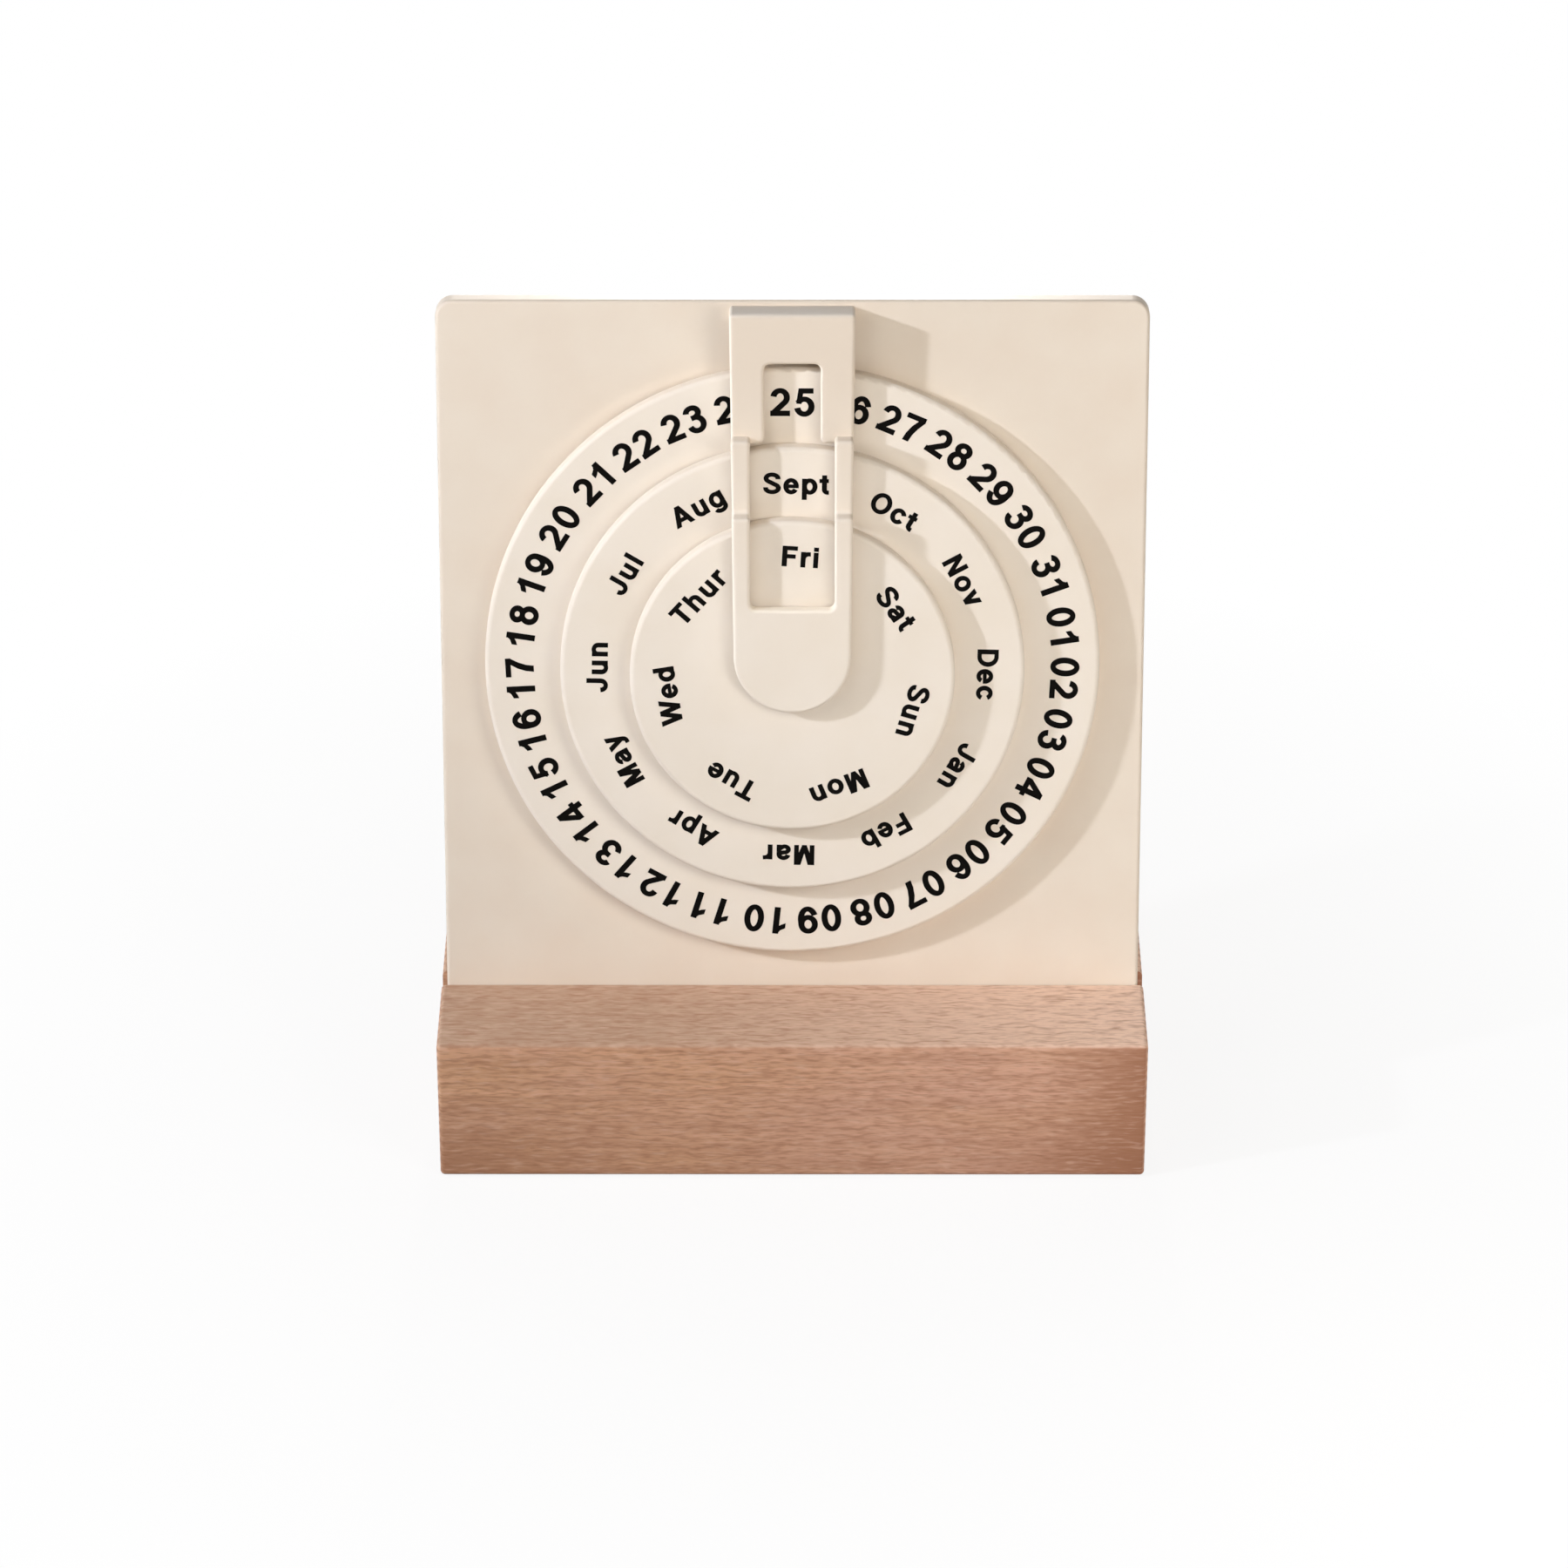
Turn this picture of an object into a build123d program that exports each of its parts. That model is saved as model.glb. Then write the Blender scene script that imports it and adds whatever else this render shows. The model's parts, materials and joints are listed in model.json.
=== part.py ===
from build123d import *
import math
import os

# Perpetual desk calendar: a leaning plate stands in a slotted wooden block and carries three
# stacked dials (date, month, weekday) that turn on one axle under a stepped window bridge.
# Units are millimetres. X runs along the block, +Y to the back, +Z up; the origin is the middle
# of the block's underside.

# ---- driving dimensions: block ----
BASE_WIDTH = 120.0
BASE_DEPTH = 42.0
BASE_HEIGHT = 26.5
BASE_EDGE_RADIUS = 0.8

# ---- driving dimensions: plate ----
LEAN_DEG = 12.0
PLATE_WIDTH = 118.0
PLATE_RISE = 120.7  # length of plate above the block, along its front face
PLATE_THICKNESS = 4.0
PLATE_CORNER_RADIUS = 2.9
PLATE_EDGE_RADIUS = 0.6
PLATE_FOOT_Y = -1.9  # where the plate's front face leaves the block's top
TONGUE_WIDTH = 110.0
TONGUE_CORNER_RADIUS = 2.0
SHOULDER_SINK = 0.8  # the shoulders dip this far into the slot, so no gap shows at the ends
SLOT_DEPTH = 17.6
SLOT_PLAY = 0.1  # on each side of the tongue

# ---- driving dimensions: dials ----
AXIS_RISE = 58.6  # dial axis above the plate's foot, along its front face
DATE_RADIUS = 51.5
MONTH_RADIUS = 38.8
WEEKDAY_RADIUS = 27.1
DIAL_THICKNESS = 3.0
DIAL_GAP = 0.3  # height of each spacer
DIAL_RIM_RADIUS = 0.8
DIAL_BACK_RADIUS = 0.3
DIAL_SKIN = 1.7  # face thickness over the relieved back
DIAL_WALL = 1.6
HUB_RADIUS = 7.0
RIB_WIDTH = 1.2
DATE_RIBS = 12
MONTH_RIBS = 8
WEEKDAY_RIBS = 6

# ---- driving dimensions: axle ----
SLEEVE_RADIUS = 3.5
SLEEVE_BORE_RADIUS = 2.3
RUNNING_CLEARANCE = 0.05
SPACER_RADIUS = 6.0
PIN_RADIUS = 2.25  # bridge pin inside the sleeve
PIN_REACH = 1.7  # how far the pin goes into the plate, clear of the washer
AXLE_SCREW_RADIUS = 1.25
AXLE_SCREW_REACH = 6.6
AXLE_PILOT_RADIUS = 1.15
AXLE_HEAD_RADIUS = 2.4
AXLE_HEAD_HEIGHT = 1.5
AXLE_WASHER_RADIUS = 3.5
AXLE_WASHER_THICKNESS = 0.5
AXLE_RECESS_RADIUS = 3.8
AXLE_RECESS_DEPTH = 2.0
SPRING_RADIUS = 5.0
SPRING_THICKNESS = 0.15
SPRING_LIP = 0.4

# ---- driving dimensions: window bridge ----
BRIDGE_THICKNESS = 2.2
BRIDGE_GAP = 0.6  # between each dial's face and the bridge over it
BRIDGE_TOP_HALF_WIDTH = 10.4
BRIDGE_END_RADIUS = 9.75
BRIDGE_END_OFFSET = 4.3  # the round end's centre lies above the dial axis
BRIDGE_FLANGE = 2.4
BRIDGE_TOP_DROP = 0.9  # the flange ends this far below the plate's top
BRIDGE_EDGE_RADIUS = 0.6
BRIDGE_STEP_RADIUS = 0.7
MONTH_STEP_Y = 40.6  # outer face of the riser at the month dial's rim, from the axis
MONTH_STEP_WALL = 2.0
WEEKDAY_STEP_Y = 28.3
WEEKDAY_STEP_WALL = 1.6
DATE_WINDOW_HALF = 4.65
DATE_WINDOW_TOP = 52.8
WIDE_WINDOW_HALF = 7.0
WIDE_WINDOW_FOOT = 12.5
WIDE_WINDOW_TOP = 39.3  # in the lowest level, which ends in a tab on each side
WINDOW_CORNER_RADIUS = 1.0
FOOT_SCREW_X = 6.5
FOOT_SCREW_Y = 57.0
FOOT_BOSS_RADIUS = 2.1
FOOT_SCREW_RADIUS = 0.95
FOOT_PILOT_RADIUS = 0.85
FOOT_PILOT_DEPTH = 4.4
FOOT_SCREW_REACH = 4.0
FOOT_HEAD_RADIUS = 1.9
FOOT_HEAD_HEIGHT = 1.4
FOOT_RECESS_RADIUS = 2.1
FOOT_RECESS_DEPTH = 1.6

# ---- driving dimensions: what both kinds of screw share ----
SCREW_CLEARANCE = 0.15
SCREW_HEAD_EDGE_RADIUS = 0.35
SCREW_TIP_CHAMFER = 0.5
DRIVER_RECESS_DEPTH = 0.75
DRIVER_RECESS_SPAN = 1.24  # tip to tip, as a share of the head's radius
DRIVER_RECESS_ARM = 0.27  # arm width, as a share of the head's radius

# ---- panel frame: origin on the plate's face at the dial axis, Z outwards, Y up the plate ----
LEAN = math.radians(LEAN_DEG)
AXIS_Y = PLATE_FOOT_Y + AXIS_RISE * math.sin(LEAN)
AXIS_Z = BASE_HEIGHT + AXIS_RISE * math.cos(LEAN)
PANEL = Plane(
    origin=(0, AXIS_Y, AXIS_Z),
    x_dir=(1, 0, 0),
    z_dir=(0, -math.cos(LEAN), math.sin(LEAN)),
)
PLATE_TOP = PLATE_RISE - AXIS_RISE
BRIDGE_TOP = PLATE_TOP - BRIDGE_TOP_DROP
PLATE_FOOT = -AXIS_RISE
TONGUE_FOOT = PLATE_FOOT - SLOT_DEPTH
DIAL_STEP = DIAL_THICKNESS + DIAL_GAP
SLEEVE_LENGTH = 3 * DIAL_STEP + BRIDGE_GAP
OVERCUT = 5.0  # how far a cutting tool runs past what it cuts
SNAP = 0.01  # tolerance for picking edges by place or direction


def disc(radius, low, high):
    """Solid cylinder on the dial axis between two heights above the plate's face."""
    return extrude(Plane.XY.offset(low) * Circle(radius), high - low)


def ring(outer, inner, low, high):
    """Flat ring on the dial axis."""
    return extrude(Plane.XY.offset(low) * (Circle(outer) - Circle(inner)), high - low)


def slab(x_low, x_high, y_low, y_high, low, high, corner=0.0):
    """Rectangular block in the panel frame, with its upright edges rounded."""
    outline = Rectangle(x_high - x_low, y_high - y_low)
    if corner:
        outline = fillet(outline.vertices(), corner)
    middle = Pos((x_low + x_high) / 2, (y_low + y_high) / 2, low)
    return extrude(middle * outline, high - low)


def screw(head_radius, head_height, shank_radius, under_head, tip):
    """Pan-head screw driven from behind, with a cross-shaped driver recess."""
    low = under_head - head_height
    head = disc(head_radius, low, under_head)
    head = fillet(head.edges().sort_by(Axis.Z)[0], SCREW_HEAD_EDGE_RADIUS)
    shank = disc(shank_radius, under_head - head_height / 2, tip)
    shank = chamfer(shank.edges().sort_by(Axis.Z)[-1], SCREW_TIP_CHAMFER)
    reach = DRIVER_RECESS_SPAN * head_radius / 2
    half_arm = DRIVER_RECESS_ARM * head_radius / 2
    bar = slab(-reach, reach, -half_arm, half_arm, low - OVERCUT, low + DRIVER_RECESS_DEPTH)
    return head + shank - bar - Rot(0, 0, 90) * bar


def base_block():
    """Beech block with the leaning saw slot that runs from end to end."""
    block = Pos(0, 0, BASE_HEIGHT / 2) * Box(BASE_WIDTH, BASE_DEPTH, BASE_HEIGHT)
    block = fillet(block.edges(), BASE_EDGE_RADIUS)
    slot = slab(
        -BASE_WIDTH,
        BASE_WIDTH,
        TONGUE_FOOT,
        PLATE_FOOT + SLOT_DEPTH,
        -PLATE_THICKNESS - SLOT_PLAY,
        SLOT_PLAY,
    )
    return block - PANEL * slot


def back_plate():
    """Square-shouldered plate whose narrower tongue stands in the block's slot."""
    shoulder = PLATE_FOOT - SHOULDER_SINK
    body = slab(-PLATE_WIDTH / 2, PLATE_WIDTH / 2, shoulder, PLATE_TOP, -PLATE_THICKNESS, 0)
    tongue = slab(-TONGUE_WIDTH / 2, TONGUE_WIDTH / 2, TONGUE_FOOT, PLATE_TOP / 2, -PLATE_THICKNESS, 0)
    plate = body + tongue
    top_corners = plate.edges().filter_by(Axis.Z).sort_by(Axis.Y)[-2:]
    plate = fillet(top_corners, PLATE_CORNER_RADIUS)
    tongue_corners = plate.edges().filter_by(Axis.Z).sort_by(Axis.Y)[:2]
    plate = fillet(tongue_corners, TONGUE_CORNER_RADIUS)
    rims = plate.faces().filter_by(Axis.Z).edges()
    plate = fillet(rims, PLATE_EDGE_RADIUS)
    plate -= disc(SLEEVE_BORE_RADIUS, -OVERCUT, OVERCUT)
    plate -= disc(AXLE_RECESS_RADIUS, -OVERCUT, AXLE_RECESS_DEPTH - PLATE_THICKNESS)
    for side in (-1, 1):
        spot = Pos(side * FOOT_SCREW_X, FOOT_SCREW_Y, 0)
        plate -= spot * disc(FOOT_SCREW_RADIUS + SCREW_CLEARANCE, -OVERCUT, OVERCUT)
        plate -= spot * disc(FOOT_RECESS_RADIUS, -OVERCUT, FOOT_RECESS_DEPTH - PLATE_THICKNESS)
    return plate


def dial(radius, level, ribs):
    """Moulded dial: flat face, rounded rim, relieved back with a hub and radial ribs."""
    low = DIAL_GAP + level * DIAL_STEP
    high = low + DIAL_THICKNESS
    body = disc(radius, low, high)
    body = fillet(body.edges().sort_by(Axis.Z)[-1], DIAL_RIM_RADIUS)
    body = fillet(body.edges().sort_by(Axis.Z)[0], DIAL_BACK_RADIUS)
    relief = ring(radius - DIAL_WALL, HUB_RADIUS, low - OVERCUT, high - DIAL_SKIN)
    rib = slab(0, radius, -RIB_WIDTH / 2, RIB_WIDTH / 2, low, high)
    for number in range(ribs):
        relief -= Rot(0, 0, 360 * number / ribs) * rib
    return body - relief - disc(SLEEVE_RADIUS + RUNNING_CLEARANCE, low - OVERCUT, high + OVERCUT)


def spacer(level):
    """Thin washer under a dial's hub."""
    low = level * DIAL_STEP
    return ring(SPACER_RADIUS, SLEEVE_RADIUS + RUNNING_CLEARANCE, low, low + DIAL_GAP)


def axle_sleeve():
    """Tube that the three dials turn on, clamped between plate and bridge."""
    return ring(SLEEVE_RADIUS, SLEEVE_BORE_RADIUS, 0, SLEEVE_LENGTH)


def friction_spring():
    """Cupped ring between the weekday dial and the bridge: it presses the dials together."""
    low = 3 * DIAL_STEP
    high = low + BRIDGE_GAP
    inner = SLEEVE_RADIUS + RUNNING_CLEARANCE
    foot = inner + SPRING_LIP
    head = SPRING_RADIUS - SPRING_LIP
    wall = SPRING_THICKNESS
    section = make_face(
        Polyline(
            (inner, low),
            (foot, low),
            (head, high - wall),
            (SPRING_RADIUS, high - wall),
            (SPRING_RADIUS, high),
            (head - wall, high),
            (foot - wall, low + wall),
            (inner, low + wall),
            close=True,
        )
    )
    return revolve(Plane.XZ * section, Axis.Z)


def bridge_levels():
    """Underside heights of the bridge over the date, month and weekday dials."""
    return [step * DIAL_STEP + BRIDGE_GAP for step in (1, 2, 3)]


def stair_block(top, month_step, weekday_step, heights, floor, edge_radius=0.0):
    """Solid staircase from the plate up to three heights; only the month step's foot stays sharp."""
    low_end = BRIDGE_END_OFFSET - BRIDGE_END_RADIUS - OVERCUT
    date_height, month_height, weekday_height = heights
    profile = make_face(
        Polyline(
            (top, floor),
            (top, date_height),
            (month_step, date_height),
            (month_step, month_height),
            (weekday_step, month_height),
            (weekday_step, weekday_height),
            (low_end, weekday_height),
            (low_end, floor),
            close=True,
        )
    )
    if edge_radius:
        foot = Vector(month_step, date_height, 0)
        steps = [v for v in profile.vertices() if v.Y > floor and v.X > low_end]
        profile = fillet([v for v in steps if (Vector(v) - foot).length > SNAP], edge_radius)
    return extrude(Plane.YZ * profile, BRIDGE_TOP_HALF_WIDTH + OVERCUT, both=True)


def bridge_outline():
    """Plan of the bridge: a slightly tapered strip with a round lower end."""
    left_foot = (-BRIDGE_END_RADIUS, BRIDGE_END_OFFSET)
    right_foot = (BRIDGE_END_RADIUS, BRIDGE_END_OFFSET)
    left_top = (-BRIDGE_TOP_HALF_WIDTH, BRIDGE_TOP)
    right_top = (BRIDGE_TOP_HALF_WIDTH, BRIDGE_TOP)
    tip = (0, BRIDGE_END_OFFSET - BRIDGE_END_RADIUS)
    sides = Line(left_top, left_foot) + Line(right_foot, right_top) + Line(right_top, left_top)
    return make_face(sides + ThreePointArc(left_foot, tip, right_foot))


def bridge_windows(date_front, height):
    """Narrow window over the date dial, running into a wide one over the two smaller dials."""
    narrow = slab(
        -DATE_WINDOW_HALF,
        DATE_WINDOW_HALF,
        WEEKDAY_STEP_Y,
        DATE_WINDOW_TOP,
        -OVERCUT,
        height,
        WINDOW_CORNER_RADIUS,
    )
    half = WIDE_WINDOW_HALF
    rounded_foot = slab(
        -half, half, WIDE_WINDOW_FOOT, WEEKDAY_STEP_Y, -OVERCUT, height, WINDOW_CORNER_RADIUS
    )
    square_head = slab(
        -half, half, WIDE_WINDOW_FOOT + WINDOW_CORNER_RADIUS, WIDE_WINDOW_TOP, -OVERCUT, height
    )
    above_tabs = slab(-half, half, WEEKDAY_STEP_Y, MONTH_STEP_Y + OVERCUT, date_front, height)
    return narrow + rounded_foot + square_head + above_tabs


def tab_corners(block):
    """Upright edges where the narrow window meets the wide one."""
    return [
        edge
        for edge in block.edges().filter_by(Axis.Z)
        if abs(abs(edge.center().X) - DATE_WINDOW_HALF) < SNAP
        and abs(edge.center().Y - WIDE_WINDOW_TOP) < SNAP
    ]


def bridge_front_edges(block, date_front):
    """Edges to round: the strip's sides and end, and the windows' rims."""
    window_lines = (DATE_WINDOW_TOP, WIDE_WINDOW_FOOT, WIDE_WINDOW_TOP)
    chosen = []
    for edge in block.edges():
        direction = edge.tangent_at(0.5)
        middle = edge.center()
        on_plate = max(v.Z for v in edge.vertices()) < SNAP
        upright = abs(direction.Z) > 1 - SNAP
        across = abs(direction.X) > 1 - SNAP
        on_window = any(abs(middle.Y - line) < SNAP for line in window_lines)
        beside_tab = abs(abs(middle.X) - WIDE_WINDOW_HALF) + abs(middle.Z - date_front) < SNAP
        if on_plate or upright or beside_tab:
            continue
        if not across or on_window or middle.Y < 0:
            chosen.append(edge)
    return chosen


def window_bridge():
    """Stepped cover strip with a foot on the plate, reading windows and a round end."""
    backs = bridge_levels()
    fronts = [back + BRIDGE_THICKNESS for back in backs]
    bridge = stair_block(BRIDGE_TOP, MONTH_STEP_Y, WEEKDAY_STEP_Y, fronts, 0, BRIDGE_STEP_RADIUS)
    bridge &= extrude(bridge_outline(), fronts[-1] + OVERCUT)
    bridge -= bridge_windows(fronts[0], fronts[-1] + OVERCUT)
    bridge = fillet(tab_corners(bridge), WINDOW_CORNER_RADIUS)
    bridge = fillet(bridge_front_edges(bridge, fronts[0]), BRIDGE_EDGE_RADIUS)
    bridge -= stair_block(
        BRIDGE_TOP - BRIDGE_FLANGE,
        MONTH_STEP_Y - MONTH_STEP_WALL,
        WEEKDAY_STEP_Y - WEEKDAY_STEP_WALL,
        backs,
        -OVERCUT,
    )
    bridge += disc(PIN_RADIUS, -PIN_REACH, backs[-1] + BRIDGE_THICKNESS / 2)
    bridge -= disc(AXLE_PILOT_RADIUS, -OVERCUT, backs[-1])
    for side in (-1, 1):
        spot = Pos(side * FOOT_SCREW_X, FOOT_SCREW_Y, 0)
        bridge += spot * disc(FOOT_BOSS_RADIUS, 0, backs[0] + BRIDGE_THICKNESS / 2)
        bridge -= spot * disc(FOOT_PILOT_RADIUS, -OVERCUT, FOOT_PILOT_DEPTH)
    return bridge


def axle_washer():
    """Washer under the axle screw's head, in the plate's rear recess."""
    floor = AXLE_RECESS_DEPTH - PLATE_THICKNESS
    bore = AXLE_SCREW_RADIUS + SCREW_CLEARANCE
    return ring(AXLE_WASHER_RADIUS, bore, floor - AXLE_WASHER_THICKNESS, floor)


def axle_screw():
    """Self-tapping screw from behind, through the washer and into the bridge's pin."""
    under_head = AXLE_RECESS_DEPTH - PLATE_THICKNESS - AXLE_WASHER_THICKNESS
    return screw(AXLE_HEAD_RADIUS, AXLE_HEAD_HEIGHT, AXLE_SCREW_RADIUS, under_head, AXLE_SCREW_REACH)


def foot_screws():
    """The two small screws that hold the bridge's foot to the plate."""
    under_head = FOOT_RECESS_DEPTH - PLATE_THICKNESS
    one = screw(FOOT_HEAD_RADIUS, FOOT_HEAD_HEIGHT, FOOT_SCREW_RADIUS, under_head, FOOT_SCREW_REACH)
    return Compound(children=[Pos(side * FOOT_SCREW_X, FOOT_SCREW_Y, 0) * one for side in (-1, 1)])


def build_parts():
    """Every piece of the calendar, by name, placed in the object's frame."""
    panel_parts = {
        "back_plate": back_plate(),
        "date_dial": dial(DATE_RADIUS, 0, DATE_RIBS),
        "month_dial": dial(MONTH_RADIUS, 1, MONTH_RIBS),
        "weekday_dial": dial(WEEKDAY_RADIUS, 2, WEEKDAY_RIBS),
        "plate_spacer": spacer(0),
        "date_spacer": spacer(1),
        "month_spacer": spacer(2),
        "axle_sleeve": axle_sleeve(),
        "friction_spring": friction_spring(),
        "window_bridge": window_bridge(),
        "axle_screw": axle_screw(),
        "axle_washer": axle_washer(),
        "foot_screws": foot_screws(),
    }
    parts = {"base_block": base_block()}
    for name, part in panel_parts.items():
        parts[name] = PANEL * part
    return parts


os.makedirs("parts", exist_ok=True)
for name, part in build_parts().items():
    part.label = name
    export_step(part, f"parts/{name}.step")
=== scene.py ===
import json
import math

import bmesh
import bpy
from mathutils import Matrix, Vector
from mathutils.geometry import delaunay_2d_cdt


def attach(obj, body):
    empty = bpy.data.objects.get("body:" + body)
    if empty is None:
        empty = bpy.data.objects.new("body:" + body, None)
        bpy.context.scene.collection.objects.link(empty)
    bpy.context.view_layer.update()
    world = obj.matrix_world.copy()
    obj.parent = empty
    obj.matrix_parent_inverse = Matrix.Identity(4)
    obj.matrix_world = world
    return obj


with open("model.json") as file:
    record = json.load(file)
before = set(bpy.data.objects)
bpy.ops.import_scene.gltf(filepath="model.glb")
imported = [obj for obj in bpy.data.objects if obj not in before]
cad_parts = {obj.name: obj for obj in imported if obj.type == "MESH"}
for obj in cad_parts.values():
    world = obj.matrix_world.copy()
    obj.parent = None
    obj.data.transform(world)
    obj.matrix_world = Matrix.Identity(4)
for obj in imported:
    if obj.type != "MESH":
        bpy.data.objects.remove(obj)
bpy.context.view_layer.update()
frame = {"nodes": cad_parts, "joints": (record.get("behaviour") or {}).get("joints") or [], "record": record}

MM = 0.001

# ---- the panel: X to the reader's right, Y up the plate, Z out of its face ----
dial_joint = next(j for j in frame["joints"] if j["name"] == "date_turn")
AXIS_POINT = Vector(dial_joint["pos_m"])
AXIS_OUT = Vector(dial_joint["axis"]).normalized()
PANEL_RIGHT = Vector((1, 0, 0))
PANEL_UP = AXIS_OUT.cross(PANEL_RIGHT)
PANEL = Matrix.Translation(AXIS_POINT) @ Matrix((PANEL_RIGHT, PANEL_UP, AXIS_OUT)).transposed().to_4x4()

# ---- camera: the photograph's viewing angle ----
PHOTO_SIZE = 1800
FOCAL_PIXELS = 7328.2
CAMERA_TARGET = Vector((-1.4, 0.0, 65.47)) * MM
CAMERA_DISTANCE = 1072.9 * MM
CAMERA_YAW = math.radians(-0.155)
CAMERA_PITCH = math.radians(31.2)
CAMERA_ROLL = math.radians(-0.058)
SENSOR_WIDTH = 36.0  # millimetres, as Blender counts it
CLIP_NEAR = 0.01
CLIP_FAR = 50

# ---- lettering ----
FIRST_DATE = 25  # what stands under the windows at rest
FIRST_MONTH = "Sept"
FIRST_DAY = "Fri"
MONTHS = "Jan Feb Mar Apr May Jun Jul Aug Sept Oct Nov Dec".split()
DAYS = "Mon Tue Wed Thur Fri Sat Sun".split()
DATES = [f"{number:02d}" for number in range(1, 32)]
DATE_CAP = 4.85 * MM
NAME_CAP = 3.55 * MM
DATE_WEIGHT = 0.8  # how much bolder than the face below, in its units, on each side of a stroke
NAME_WEIGHT = 1.7
DATE_TEXT_RADIUS = 45.7 * MM
MONTH_TEXT_RADIUS = 32.6 * MM
DAY_TEXT_RADIUS = 21.0 * MM
DATE_OFFSET = 0.0  # how far each dial stands clockwise of its window's middle
MONTH_OFFSET = math.radians(1.1)
DAY_OFFSET = math.radians(3.6)
INK_THICKNESS = 0.03 * MM
INK_SINK = 0.01 * MM  # how deep the print reaches into the dial, so that no gap shows


# =========================== bold sans face ===========================
# Units: 72 from the baseline to the top of a capital. Round strokes are drawn with an oval pen.
CAP = 72.0
X_HEIGHT = 53.2
DIGIT_WIDTH = 55.6
DIGIT_MIDDLE = 34.6  # height of a round digit's middle
PEN_X = 7.0  # half the pen's width
PEN_Y = 6.0  # half the pen's height
TRACKING = 5.6  # extra space after each letter
ARC_STEP = math.radians(9)
SHORTEST_STEP = 0.02  # in half pens: points of a stroke that lie closer are one point
PEN_MITRE = 0.5  # smallest cosine that a corner is mitred with, so that no sharp corner runs far out
SWELL_MITRE = 0.4
INSIDE_ONLY = 1  # output type of delaunay_2d_cdt: the triangles that lie in a stroke
MERGE_WITHIN = 1e-5


def arc(cx, cy, rx, ry, start, end):
    """Points of an oval arc, in degrees, counter-clockwise from the right."""
    a, b = math.radians(start), math.radians(end)
    steps = max(2, round(abs(b - a) / ARC_STEP))
    angles = [a + (b - a) * i / steps for i in range(steps + 1)]
    return [(cx + rx * math.cos(t), cy + ry * math.sin(t)) for t in angles]


def pen(*path):
    """Outline of a pen stroke along points and arcs."""
    line = []
    for item in path:
        for point in item if isinstance(item, list) else [item]:
            point = Vector((point[0] / PEN_X, point[1] / PEN_Y))
            if not line or (point - line[-1]).length > SHORTEST_STEP:
                line.append(point)
    left, right = [], []
    for i, point in enumerate(line):
        before = (point - line[i - 1]).normalized() if i else None
        after = (line[i + 1] - point).normalized() if i + 1 < len(line) else before
        along = ((before or after) + after).normalized()
        normal = Vector((-along.y, along.x)) / max(PEN_MITRE, along.dot(after))
        left.append(point + normal)
        right.append(point - normal)
    return [(p.x * PEN_X, p.y * PEN_Y) for p in right + left[::-1]]


def bar(x0, x1, y0, y1):
    """Upright or level bar."""
    return [(x0, y0), (x1, y0), (x1, y1), (x0, y1)]


def ring(cx, cy, rx, ry):
    """Closed oval stroke, as two overlapping halves."""
    return [pen(arc(cx, cy, rx, ry, 85, 275)), pen(arc(cx, cy, rx, ry, -95, 95))]


def mirrored(shape, width):
    """A shape flipped left to right about the middle of a width."""
    return [(width - x, y) for x, y in shape]


BOWL = (32.4, 26.6, 18.4, 22.0)
STEM = bar(6.9, 20.9, 0, X_HEIGHT)
TALL_STEM = bar(6.9, 20.9, 0, CAP)
ARCH = pen((14, 26), arc(30.6, 33, 16.6, 15.6, 180, 0), (47.2, 0))
A_LEG = [(2, 0), (17.5, 0), (44, CAP), (28.1, CAP)]
V_ARM = [(1.5, X_HEIGHT), (20, 0), (35.5, 0), (17, X_HEIGHT)]
M_ARM = [(7, CAP), (34.9, 0), (48.5, 0), (27.5, CAP)]
W_OUTER = [(1, CAP), (19.5, 0), (34, 0), (16, CAP)]
W_INNER = [(19.5, 0), (34, 0), (54.5, CAP), (39.9, CAP)]
SIX_BOWL = ring(27.9, 23, 17.3, 18.9)
SIX_BACK = pen(arc(29.4, 34.8, 18.9, 30.2, 24, 180), (10.6, 22))

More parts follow.
